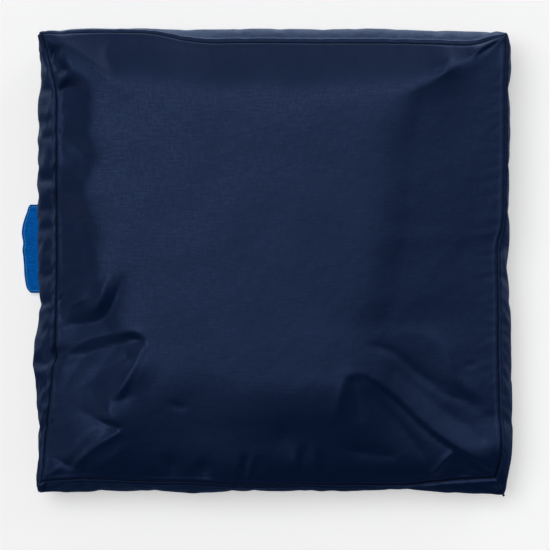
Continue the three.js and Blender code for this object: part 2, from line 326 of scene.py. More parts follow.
# %% Fold lines
FOLDS = {
    # Upper left corner
    "hip": [(-284, 275, 0), (-262, 270, 6), (-240, 256, 7), (-222, 243, 6), (-200, 222, 3), (-172, 198, 0)],
    "wedge edge": [(-264, 268, 4), (-259, 250, 7), (-254, 232, 4)],
    "corner hollow": [(-267, 264, -4), (-275, 257, -6), (-278, 246, -3)],
    "finger": [(-270, 219, 1), (-263, 226, 6), (-256, 231, 5)],
    "notch": [(-271, 237, -3), (-264, 239, -5), (-258, 237, -2)],
    "hollow below": [(-266, 212, -2), (-254, 217, -4.5), (-242, 213, -5), (-232, 202, -2)],
    "north dart": [(-192, 280, 0), (-203, 270, -2.5), (-209, 259, -3), (-204, 246, -2), (-194, 234, 0)],
    # Upper right corner
    "right hip": [(289, 284, 0), (276, 277, 3), (262, 268, 4), (247, 256, 2), (232, 246, 2), (215, 236, 3),
                  (200, 226, 2.5), (178, 214, 1.5), (150, 204, 0)],
    "right dart": [(223, 266, 0), (220, 254, 1.5), (214, 242, 1.5), (206, 234, 0)],
    # Left side
    "seam dart": [(-269, 157, -1), (-262, 161, -2), (-252, 166, 0)],
    "upper slope": [(-260, 152, 0), (-242, 139, -3), (-224, 127, -2), (-212, 120, 0)],
    "lower slope": [(-258, 62, 0), (-242, 46, -3), (-224, 30, -2), (-210, 14, 0)],
    "slope bulge": [(-262, 112, 0), (-246, 104, 2), (-230, 96, 0)],
    "arc": [(-267, -50, 0), (-258, -36, 3), (-243, -26, 3.5), (-225, -22, 2), (-210, -20, 0)],
    "below arc": [(-264, -62, 0), (-253, -55, 3), (-240, -48, 3.5), (-226, -44, 1.5)],
    "long trough": [(-182, -14, 0), (-188, -26, -2), (-195, -45, -4.5), (-203, -62, -5), (-214, -74, -4.5),
                    (-230, -78, -4), (-246, -80, -4), (-259, -82, -1)],
    "left of trough": [(-205, -20, 1), (-212, -38, 4), (-216, -52, 4), (-224, -62, 1)],
    # Lower left: two dents with sharp tips and the zigzag ridge that joins them
    "dent rim": [(-158, -98, 2), (-168, -90, 2.5), (-186, -89, 2), (-210, -92, 2), (-238, -100, 2),
                 (-254, -113, 2), (-263, -133, 1), (-270, -150, 0)],
    "dent": [(-165, -101, -2), (-174, -100, -2.5), (-190, -103, -2.5), (-210, -108, -2), (-232, -118, -2),
             (-246, -134, -2), (-258, -152, -1.5), (-268, -165, 0)],
    "dent floor": [(-180, -121, -3.5), (-204, -134, -4), (-228, -149, -3.5), (-250, -165, -1)],
    "zig": [(-160, -103, 3), (-165, -113, 4.5), (-173, -130, 5.5), (-182, -148, 5.5), (-191, -163, 4),
            (-199, -174, 2)],
    "facet middle": [(-148, -108, 1), (-157, -124, 2.5), (-166, -141, 3), (-175, -156, 2), (-184, -169, 0)],
    "facet far": [(-128, -116, 0), (-135, -132, 0), (-146, -150, 0), (-158, -163, 0)],
    "zag": [(-201, -174, 2), (-204, -184, 3.5), (-201, -196, 4.5), (-195, -206, 4)],
    "second dent": [(-197, -209, -2), (-206, -204, -3.5), (-219, -198, -4), (-233, -191, -3),
                    (-246, -183, -1)],
    "last ridge": [(-193, -212, 2), (-205, -220, 1.5), (-222, -232, 1), (-243, -250, 1)],
    "below it": [(-172, -222, 0), (-186, -233, 1.5), (-203, -246, 2), (-222, -258, 1), (-236, -264, 0)],
    "third dent": [(-278, -244, -1), (-269, -249, -3), (-258, -255, -3), (-248, -261, -1)],
    # Lower right: a long finger of cloth between two creases, with a fan and a facet below it
    "long finger": [(108, -136, 0), (127.5, -149.5, 1), (153, -169.5, 1), (182, -197.5, 1),
                    (207, -218.5, 2), (226, -231.5, 2.5), (249, -246, 3), (273, -260, 2.5)],
    "crease": [(106, -141, 0), (125, -153, -2), (150, -173, -2.5), (179, -201, -3), (204, -222, -3.5),
               (222, -235, -4), (246, -250.5, -4), (268, -264, -1.5)],
    "upper crease": [(110, -104, 0), (130, -106, -1), (150, -114, -2), (168, -130, -3), (188, -146, -3),
                     (205, -154, -2), (222, -161, -1), (236, -172, -1.5), (250, -182, -1.5),
                     (262, -192, 0)],
    "upper rim": [(150, -92, 0), (180, -90, 1), (200, -98, 2), (214, -112, 2.5), (221, -128, 3),
                  (225, -142, 2.5), (236, -152, 2.5), (250, -164, 2.5), (262, -176, 1), (272, -188, 0)],
    "fan rim": [(70, -138, 0), (84, -140, 1), (94, -141, 1.5), (106, -140, 1), (122, -142, 0)],
    "fan left": [(87, -147, 1.5), (83, -165, 2.5), (78, -188, 1.5), (74, -208, 0)],
    "fan": [(98, -150, -1.5), (102, -165, -2), (106, -185, -1.5), (108, -205, 0)],
    "facet edge": [(221, -238, -4), (212, -248, -2), (205, -258, -0.5), (199, -267, 0)],
    "facet foot": [(213, -262, -3), (226, -258, -6), (240, -264, -6), (256, -268, -3)],
    # Bottom seam: short puckers
    "pucker 1": [(-134, -240, 0), (-127, -256, -3), (-124, -271, 0)],
    "pucker 2": [(-92, -246, 0), (-86, -260, -3.5), (-83, -273, 0)],
    "pucker 3": [(-31, -241, 0), (-36, -254, -3), (-37, -266, -2), (-36, -276, 0)],
    "pucker 3 ridge": [(-43, -244, 0), (-45, -257, 0.5), (-45, -272, 0)],
    "pucker 4": [(-20, -242, 0), (-21, -256, -2), (-21, -275, 0)],
    "pucker 4 ridge": [(-26, -238, 0), (-27, -252, 1), (-28, -274, 0)],
    "pucker 5": [(6, -200, 0), (13, -220, -2), (24, -242, 0)],
    "pucker 6": [(38, -226, 0), (36, -248, -2.5), (33, -275, 0)],
    "pucker 6 ridge": [(29, -230, 0), (28, -250, 1.2), (26, -274, 0)],
    "pucker 7": [(56, -232, 0), (61, -254, -2.5), (65, -275, 0)],
    "pucker 7 ridge": [(49, -236, 0), (53, -256, 1), (57, -275, 0)],
}
SAGS = {
    "left corner": [(-208, -211, -1), (-220, -216, -1), (-233, -227, -1), (-244, -240, -1),
                    (-250, -255, -1)],
    "right dart": [(222, 264, 2), (218, 252, 4.5), (212, 241, 4)],
    "below crease": [(121, -165, -4), (142, -188, -7.5), (163, -212, -9), (180, -234, -8),
                     (191, -254, -3.5)],
    "finger": [(150, -135, -2.5), (180, -160, -4.5), (210, -185, -5), (240, -205, -5), (262, -224, -4)],
    "fan foot": [(88, -234, -2), (106, -238, -4.5), (126, -241, -5), (148, -244, -5)],
}
CREASES = {
    "arc": [(-269, -56, -1.5), (-262, -45, -2.5), (-254, -34, -2.5), (-243, -27, -2), (-228, -24, 0)],
    "dent tip": [(-161, -103, -1), (-168, -97, -3), (-177, -94, -2), (-190, -95, 0)],
    "facet toe": [(-198, -175, -0.5), (-188, -173, -1), (-176, -168, -0.5), (-166, -160, 0)],
    "second tip": [(-194, -209, -1), (-201, -205, -3), (-211, -201, -2), (-222, -196, 0)],
    "last ridge": [(-192, -211, 1.5), (-200, -218, 2.5), (-214, -226, 2.5), (-230, -238, 2.5),
                   (-243, -250, 2.5), (-250, -259, 2), (-250, -270, 0)],
    "third dent": [(-276, -244, 0), (-267, -249, -2), (-256, -255, -2), (-248, -260, 0)],
    "facet outline": [(225, -238, 1), (217, -246, 3), (210, -255, 4), (203, -264, 4.5), (196, -272, 3)],
    "facet top": [(232, -247.5, 0), (243, -255.5, 2), (257, -264, 2.5), (266, -269, 0)],
    "small crease": [(-134, -174, 0), (-118, -181, -1.5), (-102, -182, 0)],
    "crease": [(140, -164, 0), (165, -186, -1), (190, -209, -1.5), (210, -225, -2), (224, -234, -2),
               (246, -249, -2), (266, -261, -1.5), (277, -268, 0)],
    "upper crease": [(112, -104, 0), (130, -107, -1), (150, -114, -1), (170, -130, -1), (188, -147, -1),
                     (205, -160, -1.5), (228, -172, -1.5), (246, -178, 0)],
    "short crease": [(235, -129, 0), (246, -130, -1.2), (258, -130, 0)],
    "corner fold": [(244, 254, 0), (252, 260, 2.5), (262, 267, 3.5), (274, 275, 3), (285, 282, 0)],
    "beside it": [(254, 256, 0), (267, 265, -2), (278, 273, -2), (287, 279, 0)],
}


def drawn(line):
    """The line's points joined by a smooth curve, about one point a millimetre."""
    line = np.array(line, float)
    lengths = np.linalg.norm(np.diff(line[:, :2], axis=0), axis=1)
    knots = np.concatenate([[0], np.cumsum(lengths)])
    at = np.linspace(0, knots[-1], int(knots[-1]) + 2)
    return np.stack([through(at, knots, line[:, k]) for k in range(3)], axis=1)


print("sags:", len(SAGS), "folds:", len(FOLDS), "creases:", len(CREASES))

# %% [markdown]
# Between the lines the cloth spans like a soap film. The film is worked out on a square raster: each cell
# takes the mean of its neighbours, less a small pull back to the smooth crown, and the cells under a line
# keep the line's rise. The weaker the pull, the farther a line reaches, so the film is worked out once for
# each kind of line. A little smoothing at the end rounds the sharp crests.

# %% Fold field
CELL, RASTER_HALF = 2, 304
SAG_REACH, FOLD_REACH, CREASE_REACH = 40, 15, 4
FILM_PASSES, ROUNDING_PASSES = 300, 1


def neighbours(field):
    """The sum of each cell's four neighbours."""
    padded = np.pad(field, 1, mode="edge")
    return padded[:-2, 1:-1] + padded[2:, 1:-1] + padded[1:-1, :-2] + padded[1:-1, 2:]


def fold_field(folds, reach):
    """The film's height in each cell, for lines that reach so many millimetres."""
    cells = 2 * RASTER_HALF // CELL + 1
    field, held = np.zeros((cells, cells)), np.zeros((cells, cells), bool)
    for line in folds.values():
        points = drawn(line)
        column, row = np.round((points[:, :2].T + RASTER_HALF) / CELL).astype(int)
        field[row, column] = points[:, 2]
        held[row, column] = True
    lines = field.copy()
    for _ in range(FILM_PASSES):
        field = np.where(held, lines, neighbours(field) / (4 + (CELL / reach) ** 2))
    for _ in range(ROUNDING_PASSES):
        field = (4 * field + neighbours(field)) / 8
    return field


def look_up(field, plan):
    """The field's height at plan points, between its cells."""
    place = np.clip((plan + RASTER_HALF) / CELL, 0, len(field) - 1.001)
    low = place.astype(int)
    across, up = (place - low).T
    column, row = low.T
    near = field[row, column] * (1 - across) + field[row, column + 1] * across
    far = field[row + 1, column] * (1 - across) + field[row + 1, column + 1] * across
    return near * (1 - up) + far * up


relief_field = fold_field(SAGS, SAG_REACH)
relief_field += fold_field(FOLDS, FOLD_REACH)
relief_field += fold_field(CREASES, CREASE_REACH)
print("folds:", round(relief_field.min(), 1), "to", round(relief_field.max(), 1), "mm")

# %% [markdown]
# ## Sewing the net together
# The two panels and the rows of the side band share their points along the seams, so the cover is one
# closed skin. The band bulges evenly from the base seam through the waist to the top seam, so each of its
# upright lines is a parabola through those three points.

# %% Side band and faces
def band_rows():
    """The side band's points, row by row from the base seam up to the top seam, going round the sides."""
    rims = {}
    for level in ("base", "waist", "seam"):
        rims[level] = np.concatenate([edge(level, side, SHARE)[:-1] for side in SIDES])
    up = graded(BAND_HEIGHT, BAND_STEPS)[:, None, None]
    low, high = (1 - up) * (1 - 2 * up), up * (2 * up - 1)
    return low * rims["base"] + 4 * up * (1 - up) * rims["waist"] + high * rims["seam"]


def rim(numbers):
    """The point numbers round the edge of a square net, anticlockwise from the south-west corner."""
    return np.concatenate([numbers[0, :-1], numbers[:-1, -1], numbers[-1, :0:-1], numbers[:0:-1, 0]])


def squares(numbers):
    """The four-sided faces of a net of point numbers."""
    low, high = numbers[:-1], numbers[1:]
    return np.stack([low[:, :-1], low[:, 1:], high[:, 1:], high[:, :-1]], axis=-1).reshape(-1, 4)


def net_uv(u, v):
    """Each face's four corners in the flat measure of the cloth, in metres."""
    u, v = np.broadcast_arrays(u, v)
    flat = np.stack([u, v], axis=-1) * MM
    low, high = flat[:-1], flat[1:]
    return np.stack([low[:, :-1], low[:, 1:], high[:, 1:], high[:, :-1]], axis=2).reshape(-1, 4, 2)


print("side band:", " by ".join(str(n) for n in band_rows().shape[:2]), "points")

# %% [markdown]
# The cloth's own flat measure goes into a UV map, so that the weave follows the cloth: the plan of each
# panel, and the way round and the climb of the side band. The distance from each seam is stored on every
# point, because the seams' grooves and lips are pressed in later, on a finer mesh, and the cloth's material
# paints shade into the groove from it.

# %% The cover's mesh
FAR_AWAY = 200.0


def store_uv(mesh, uv):
    mesh.uv_layers.new(name="cloth").data.foreach_set("uv", uv.ravel().astype(np.float32))


def store_values(mesh, name, values):
    data = mesh.attributes.new(name, "FLOAT", "POINT").data
    data.foreach_set("value", values.ravel().astype(np.float32))


def cover_mesh():
    """The two panels and the side band as one mesh, with its UV map and its distances from the seams."""
    panel = (COLUMNS + 1) ** 2
    top_ids = np.arange(panel).reshape(COLUMNS + 1, -1)
    base_ids = top_ids + panel
    band = band_rows()
    inner = band[1:-1]
    inner_ids = 2 * panel + np.arange(inner.shape[0] * inner.shape[1]).reshape(inner.shape[:2])
    band_ids = np.concatenate([[rim(base_ids)], inner_ids, [rim(top_ids)]])
    band_ids = np.concatenate([band_ids, band_ids[:, :1]], axis=1)

    points = np.concatenate([net.reshape(-1, 3) for net in (top_net, base_net, inner)])
    faces = np.concatenate([squares(top_ids), squares(base_ids)[:, ::-1], squares(band_ids)])

    ring = np.concatenate([band, band[:, :1]], axis=1)
    climb = np.cumsum(np.linalg.norm(np.diff(ring, axis=0, prepend=ring[:1]), axis=2), axis=0)
    around = np.cumsum(np.linalg.norm(np.diff(ring, axis=1, prepend=ring[:, :1]), axis=2), axis=1)
    band_height, band_length = climb.mean(axis=1)[:, None], around.mean(axis=0)[None]
    top_uv = net_uv(top_net[..., 0], top_net[..., 1])
    base_uv = net_uv(base_net[..., 0], base_net[..., 1])[:, ::-1]
    band_uv = net_uv(band_length, band_height)

    below_seam = climb[1:-1, :-1] - climb[-1, :-1]
    from_seam = np.concatenate([top_nearest.ravel(), np.full(panel, -FAR_AWAY), below_seam.ravel()])
    from_seam[rim(base_ids)] = -climb[-1, :-1]
    above_base = climb[1:-1, :-1]
    from_base = np.concatenate([np.full(panel, FAR_AWAY), base_nearest.ravel(), above_base.ravel()])

    mesh = bpy.data.meshes.new("cushion_cover")
    mesh.from_pydata((points * MM).tolist(), [], faces.tolist())
    store_uv(mesh, np.concatenate([top_uv, base_uv, band_uv]))
    store_values(mesh, "from_top_seam", from_seam)
    store_values(mesh, "from_base_seam", from_base)
    # This distance also places the painted shade in the seam's groove.
    store_values(mesh, "from_edge", np.minimum(np.abs(from_seam), np.abs(from_base)))
    mesh.update()
    return mesh


def add_object(name, mesh):
    obj = bpy.data.objects.new(name, mesh)
    bpy.context.scene.collection.objects.link(obj)
    return obj


cushion = add_object("cushion_cover", cover_mesh())
print("cover:", len(cushion.data.vertices), "points")

# %% [markdown]
# ## Filling the cover
# The real cover is sewn from cloth that is cut a little too large, and then filled until it swells.
# Blender's Cloth does the same: a pressure pushes the skin out, the seams and the underside are held, and
# the spare cloth between them puckers. The rest of the cover is only lightly held, which keeps its slumped
# shape. Two weights on each point say how firmly it is held and how closely its cloth is cut.

# %% Held and spare cloth
PANEL_HOLD, BAND_HOLD, HOLD_WIDTH = 0.28, 0.2, 3
PANEL_SPARE, SPARE_REACH = 0.4, 15
SIDE_SPARE = {"south": 0.35, "east": 0.3, "north": 0.15, "west": 1}
UNDERSIDE = -150


def read(data, field, width):
    """So many numbers from each point of a mesh."""
    values = np.empty(len(data) * width, np.float32)
    data.foreach_get(field, values)
    return values.reshape(-1, width).astype(float)


def read_points(mesh):
    return read(mesh.vertices, "co", 3)


def from_seams(mesh):
    """Each point's distance from the top seam, less than 0 below it, and from the base seam."""
    names = ("from_top_seam", "from_base_seam")
    return [read(mesh.attributes[name].data, "value", 1)[:, 0] for name in names]


def hold(mesh):
    """How firmly each point stays where it is: 1 at the seams and below, less between them."""
    top, base = from_seams(mesh)
    seam = np.exp(-((np.minimum(np.abs(top), np.abs(base)) / HOLD_WIDTH) ** 2))
    light = np.where(top > 0, PANEL_HOLD, BAND_HOLD)
    return np.where(top < UNDERSIDE, 1, light + (1 - light) * seam)


def by_side(points, values):
    """A value for each point, taken from the side of the cushion that it is nearest to."""
    x, y = points[:, 0] / (HALF[0] * MM), points[:, 1] / (HALF[1] * MM)
    along_x = np.where(y > 0, values["north"], values["south"])
    along_y = np.where(x > 0, values["east"], values["west"])
    return np.where(np.abs(x) > np.abs(y), along_y, along_x)


def cut_to_size(mesh):
    """1 where the cloth is cut to size and less where it is cut too large, as it is in the side band."""
    top = from_seams(mesh)[0]
    band = np.where(top < UNDERSIDE, 0, 1)
    share = np.where(top > 0, PANEL_SPARE * np.exp(-top / SPARE_REACH), band)
    return 1 - share * by_side(read_points(mesh), SIDE_SPARE)


print("held fast:", int((hold(cushion.data) == 1).sum()), "points")

# %% [markdown]
# The simulation starts from the shape that is already there and runs for a few frames only. Gravity is left
# out, because the slumped shape has it already. No point may move far, so long moves are eased off towards
# a cap.

# %% Cloth simulation
PRESSURE, FRAMES, LARGEST_MOVE = 4, 20, 6
BENDING, SPARE_CLOTH, SOLVER_STEPS = 1.5, 0.035, 5


def write_points(mesh, points):
    mesh.vertices.foreach_set("co", points.astype(np.float32).ravel())
    mesh.update()


def group_points(obj, name, weights):
    """Gives every point of an object its weight in a new vertex group."""
    group = obj.vertex_groups.new(name=name)
    for number, weight in enumerate(weights.tolist()):
        group.add([number], weight, "REPLACE")


def swell(obj):
    """Fills a cover by cloth simulation and returns how far each point moved."""
    start = read_points(obj.data)
    group_points(obj, "held", hold(obj.data))
    group_points(obj, "cut to size", cut_to_size(obj.data))
    cloth = obj.modifiers.new("filling", "CLOTH")
    cloth.settings.quality = SOLVER_STEPS
    cloth.settings.use_pressure = True
    cloth.settings.uniform_pressure_force = PRESSURE
    cloth.settings.bending_stiffness = BENDING
    cloth.settings.vertex_group_shrink = "cut to size"
    cloth.settings.shrink_min = -SPARE_CLOTH
    cloth.settings.vertex_group_mass = "held"
    cloth.settings.effector_weights.gravity = 0
    cloth.collision_settings.use_collision = False
    cloth.point_cache.frame_end = FRAMES
    for number in range(1, FRAMES + 1):
        bpy.context.scene.frame_set(number)
    filled = read_points(obj.evaluated_get(bpy.context.evaluated_depsgraph_get()).data)
    obj.modifiers.clear()
    obj.vertex_groups.clear()
    bpy.context.scene.frame_set(1)
    move = (filled - start) / MM
    length = np.linalg.norm(move, axis=1, keepdims=True)
    eased = move * LARGEST_MOVE * np.tanh(length / LARGEST_MOVE) / np.maximum(length, 1e-9)
    write_points(obj.data, start + eased * MM)
    return length[:, 0]


moved = swell(cushion)
print("filled: points moved", np.round(np.percentile(moved, (50, 90, 100)), 1), "mm")

# %% [markdown]
# ## A finer mesh
# One level of subdivision gives the cover about three millimetres between points, and less than one beside
# the seams. The modifier is turned into a plain mesh at once, so that later steps can move its points.

# %% Subdivide
def make_plain(obj):
    """Replaces an object's mesh by what its modifiers make of it."""
    depsgraph = bpy.context.evaluated_depsgraph_get()
    old = obj.data
    obj.data = bpy.data.meshes.new_from_object(obj.evaluated_get(depsgraph), depsgraph=depsgraph)
    obj.modifiers.clear()
    bpy.data.meshes.remove(old)


finer = cushion.modifiers.new("finer", "SUBSURF")
finer.levels = finer.render_levels = 1
make_plain(cushion)
print("finer cover:", len(cushion.data.polygons), "faces")

# %% [markdown]
# ## Seams
# A plain seam in a filled cover shows as a narrow groove where the thread holds the cloth down, with a
# soft lip on either side, where the folded edges inside push it up. A second row of stitches in the side
# band presses a fainter line. The thread also gathers the cloth, which gives short ripples that run away
# from the seam. The side band has upright dents, and spare cloth bunches up in the corners. The sides of
# the cushion differ, so most of these have a value for each side.

# %% Seam relief
SEAM_DEPTH, SEAM_WIDTH = 2.4, 1.5
PANEL_LIP, LIP_PLACE, LIP_WIDTH = 0.5, 4.5, 2.3
BAND_LIP = {"south": 0.9, "east": 1.8, "north": 1.2, "west": 2.8}
SECOND_LINE, SECOND_DEPTH, SECOND_WIDTH = -3, 0.7, 0.9
GATHER = {"south": 0.8, "east": 0.35, "north": 0.6, "west": 0.9}
GATHER_LENGTH, GATHER_REACH, GATHER_STRETCH = 11, 16, 40
LUMP, LUMP_LENGTH, LUMP_REACH = 5, 16, 26
BAND_DENT = {"south": 0.8, "east": 0.8, "north": 0.6, "west": 1.4}
DENT_LENGTH, DENT_STRETCH = {"south": 24, "east": 40, "north": 40, "west": 15}, 50
SIDES_APART, RIPPLE_LAYER = 1000, 0.5


def seam_relief(points, distance):
    """The groove, the second line and the lips of a seam, by distance from it into the panel."""
    groove = -SEAM_DEPTH * np.exp(-((distance / SEAM_WIDTH) ** 2))
    second = -SECOND_DEPTH * np.exp(-(((distance - SECOND_LINE) / SECOND_WIDTH) ** 2))
    lip_height = np.where(distance > 0, PANEL_LIP, by_side(points, BAND_LIP))
    lip = lip_height * np.exp(-(((np.abs(distance) - LIP_PLACE) / LIP_WIDTH) ** 2))
    return groove + second + lip


def place_along(points):
    """How far along its side of the cushion each point is, with a different start for each side."""
    x, y = points[:, 0] / MM, points[:, 1] / MM
    along_x = {"south": x - 3 * SIDES_APART, "north": x + 3 * SIDES_APART}
    along_y = {"east": y + SIDES_APART, "west": y - SIDES_APART}
    return by_side(points, along_x | along_y)


def ripples(places, lengths, across):
    return np.array([noise.noise((a, d, RIPPLE_LAYER)) for a, d in zip(places / lengths, across)])


def gathers(points, distance):
    """Ripples beside a seam, longer across it than along it."""
    fade = np.exp(-np.abs(distance) / GATHER_REACH)
    waves = ripples(place_along(points), GATHER_LENGTH, distance / GATHER_STRETCH)
    return by_side(points, GATHER) * fade * waves


def band_dents(points, top, base):
    """Upright dents in the side band, deepest halfway between its seams."""
    between = np.clip(-top / (base - top), 0, 1)
    in_band = (top < 0) & (top > UNDERSIDE)
    depth = by_side(points, BAND_DENT) * np.where(in_band, 4 * between * (1 - between), 0)
    return depth * ripples(place_along(points), by_side(points, DENT_LENGTH), top / DENT_STRETCH)


def lumps(points):
    """The cloth bunches up inside each corner, which shows as lumps near it."""
    shape = [noise.noise(point) for point in points / (LUMP_LENGTH * MM)]
    near = np.zeros(len(points))
    for name in CORNERS:
        from_corner = np.linalg.norm(points[:, :2] / MM - corner_point("waist", name)[:2], axis=1)
        near += np.exp(-((from_corner / LUMP_REACH) ** 2))
    return LUMP * np.array(shape) * near


print("seam groove:", SEAM_DEPTH, "mm deep, lips up to", max(BAND_LIP.values()), "mm high")

# %% [markdown]
# The relief moves each point straight out of the surface or into it. The folds were drawn in plan, so they
# go straight up, and they fade out over the last few millimetres before the seam. The base seam is
# shallower than the top seam, because the cushion's weight presses it flat.

# %% Press the seams
FOLD_START, BASE_SEAM_SHARE = 8, 0.6


def smooth_faces(mesh):
    mesh.polygons.foreach_set("use_smooth", np.ones(len(mesh.polygons), bool))


def press_seams(mesh):
    """Moves the points of the cover along its normals for the seams, and upwards for the folds."""
    points = read_points(mesh)
    top, base = from_seams(mesh)
    relief = seam_relief(points, top) + BASE_SEAM_SHARE * seam_relief(points, -base)
    relief += gathers(points, top) + gathers(points, base) + lumps(points) + band_dents(points, top, base)
    fold = look_up(relief_field, points[:, :2] / MM) * smooth_step(top, 0, FOLD_START)
    points += read(mesh.vertex_normals, "vector", 3) * relief[:, None] * MM
    points[:, 2] += fold * MM
    points[:, 2] = np.maximum(points[:, 2], 0)
    write_points(mesh, points)
    smooth_faces(mesh)


press_seams(cushion.data)
print("cushion height:", round(read_points(cushion.data)[:, 2].max() / MM, 1), "mm")

# %% [markdown]
# ## The tab
# A strip of bright blue woven tape is caught in the lower seam on the left. It leaves the seam level,
# droops to the floor and ripples a little. It is a thin closed sheet, made from a net of points for its
# middle and given its thickness by a Solidify modifier.

# %% Tab
TAB_LENGTH, TAB_REACH = 113, 41
TAB_CENTRE_Y, TAB_THICKNESS = 16, 1.6
TAB_TIP_HEIGHT, TAB_GAP, TAB_DROP = 5, 1, 1
LONG_WAVE, SHORT_WAVE = 1.2, 0.5
TAB_ACROSS, TAB_ALONG = 24, 72
TIP_PLACES = [-1, -0.97, -0.9, -0.77, -0.6, -0.4, -0.19, -0.02, 0.11, 0.36, 0.49, 0.66, 0.84, 0.98, 1]
TIP_REACHES = [31, 33, 36, 38, 39.4, 40, 40.9, 41.8, 40.9, 42.7, 42, 39.7, 36.1, 33, 32]


def tab_point(out, along):
    """A point of the tab's middle: out from 0 at the seam to 1 at the tip, along from -1 to 1."""
    reach = out * through(along, TIP_PLACES, TIP_REACHES)
    droop = smooth_step(out, 0, 1.1) * (BASE_SEAM_HEIGHT - TAB_TIP_HEIGHT)
    ripple = out * (LONG_WAVE * np.sin(along * 5 + 0.6) + SHORT_WAVE * np.sin(along * 13 + out * 2))
    x = -HALF[0] + BASE_SEAM_INSET - TAB_GAP - reach
    y = TAB_CENTRE_Y + along * TAB_LENGTH / 2
    return np.stack([x, y, BASE_SEAM_HEIGHT - TAB_DROP - droop + ripple], axis=-1)


def tab_mesh():
    out, along = np.meshgrid(np.linspace(0, 1, TAB_ACROSS + 1), np.linspace(1, -1, TAB_ALONG + 1))
    points = tab_point(out, along)
    numbers = np.arange(out.size).reshape(out.shape)
    mesh = bpy.data.meshes.new("side_tab_cloth")
    mesh.from_pydata((points.reshape(-1, 3) * MM).tolist(), [], squares(numbers).tolist())
    store_uv(mesh, net_uv(out * TAB_REACH, along * TAB_LENGTH / 2))
    from_edge = np.minimum((1 - out) * TAB_REACH, (1 - np.abs(along)) * TAB_LENGTH / 2)
    store_values(mesh, "from_edge", from_edge)
    smooth_faces(mesh)
    return mesh


tab = add_object("side_tab_cloth", tab_mesh())
thickness = tab.modifiers.new("thickness", "SOLIDIFY")
thickness.thickness = TAB_THICKNESS * MM
thickness.offset = 0
make_plain(tab)
print("tab:", len(tab.data.polygons), "faces")

# %% [markdown]
# ## Finishes
# Both cloths are plain weaves. The weave is one node group that both of them use: it reads the cloth's
# flat measure from the UV map, and it puts out the height of the threads and a value for slubs. Slubs are
# the thick and thin places of a yarn, which show as faint streaks along and across the cloth. Three sizes
# of streak are mixed, given as how many there are to a metre in each direction.

# %% Weave group
STREAKS = ((45, 650), (650, 60), (200, 320))
WAVE_SCALE = 1 / 20


def feed(made, inputs):
    """Gives a node its inputs, by name or number: each is a value or the output of another node."""
    for name, value in dict(inputs).items():
        if isinstance(value, bpy.types.NodeSocket):
            made.id_data.links.new(value, made.inputs[name])
        else:
            made.inputs[name].default_value = value
    return made


def node(tree, kind, inputs=(), **options):
    """Adds a node to a tree, with its options and its inputs."""
    made = tree.nodes.new(kind)
    for name, value in options.items():
        setattr(made, name, value)
    return feed(made, inputs)


def combine(tree, operation, first, second):
    return node(tree, "ShaderNodeMath", {0: first, 1: second}, operation=operation).outputs[0]


def streaks(tree, cloth, across, along):
    """Noise drawn out into streaks: so many to a metre across the cloth and along it."""
    stretch = {0: cloth, 1: (across, along, 1)}
    stretched = node(tree, "ShaderNodeVectorMath", stretch, operation="MULTIPLY").outputs[0]
    inputs = {"Vector": stretched, "Scale": 1.0, "Detail": 1.0}
    return node(tree, "ShaderNodeTexNoise", inputs, noise_dimensions="2D").outputs["Fac"]


def weave_group():
    group = bpy.data.node_groups.new("plain_weave", "ShaderNodeTree")
    group.interface.new_socket("Cloth", in_out="INPUT", socket_type="NodeSocketVector")
    for name, in_out in (("Threads per metre", "INPUT"), ("Height", "OUTPUT"), ("Slubs", "OUTPUT")):
        group.interface.new_socket(name, in_out=in_out, socket_type="NodeSocketFloat")
    start, end = node(group, "NodeGroupInput"), node(group, "NodeGroupOutput")
    cloth, threads = start.outputs["Cloth"], start.outputs["Threads per metre"]
    over = node(group, "ShaderNodeTexChecker", {"Vector": cloth, "Scale": threads}).outputs["Fac"]
    wave = {"Vector": cloth, "Scale": combine(group, "MULTIPLY", threads, WAVE_SCALE)}
    warp = node(group, "ShaderNodeTexWave", wave, bands_direction="X").outputs["Fac"]
    weft = node(group, "ShaderNodeTexWave", wave, bands_direction="Y").outputs["Fac"]
    height = node(group, "ShaderNodeMix", {"Factor": over, "A": warp, "B": weft}, data_type="FLOAT")
    total = 0.0
    for size in STREAKS:
        total = combine(group, "ADD", total, streaks(group, cloth, *size))
    slubs = combine(group, "DIVIDE", total, len(STREAKS))
    feed(end, {"Height": height.outputs["Result"], "Slubs": slubs})
    return group


WEAVE = weave_group()
print("weave group:", len(WEAVE.nodes), "nodes")

# %% [markdown]
# The navy cloth is coated on the inside, so it is dark, slightly shiny and a little crinkled. Its shine is
# tinted blue, because it comes from the dyed threads. Slubs change its colour, its shine and its relief a
# little. The distance from the edge of the cloth is stored on every point: it dulls a narrow line in the
# seam's groove and darkens it with painted shade, where hardly any light gets in. On the tab it darkens
# and dulls a narrow border.

# %% Cloth materials
SLUB_SPREAD = (0.38, 0.62)
CRINKLES = {"Scale": 55.0, "Detail": 3.0, "Roughness": 0.45}
Cloth = namedtuple(
    "Cloth", "colour tint roughness threads weave crinkle slubs slub_height edge edge_shade edge_dull"
)


def new_material(name):
    """A new material, its node tree and its shader."""
    material = bpy.data.materials.new(name)
    material.use_nodes = True
    return material, material.node_tree, material.node_tree.nodes["Principled BSDF"]


def map_range(tree, value, from_range, to_range):
    names = ("Value", "From Min", "From Max", "To Min", "To Max")
    inputs = zip(names, (value, *from_range, *to_range))
    return node(tree, "ShaderNodeMapRange", inputs).outputs["Result"]


def scaled_colour(tree, colour, factor):
    inputs = {0: colour, "Scale": factor}
    return node(tree, "ShaderNodeVectorMath", inputs, operation="SCALE").outputs[0]


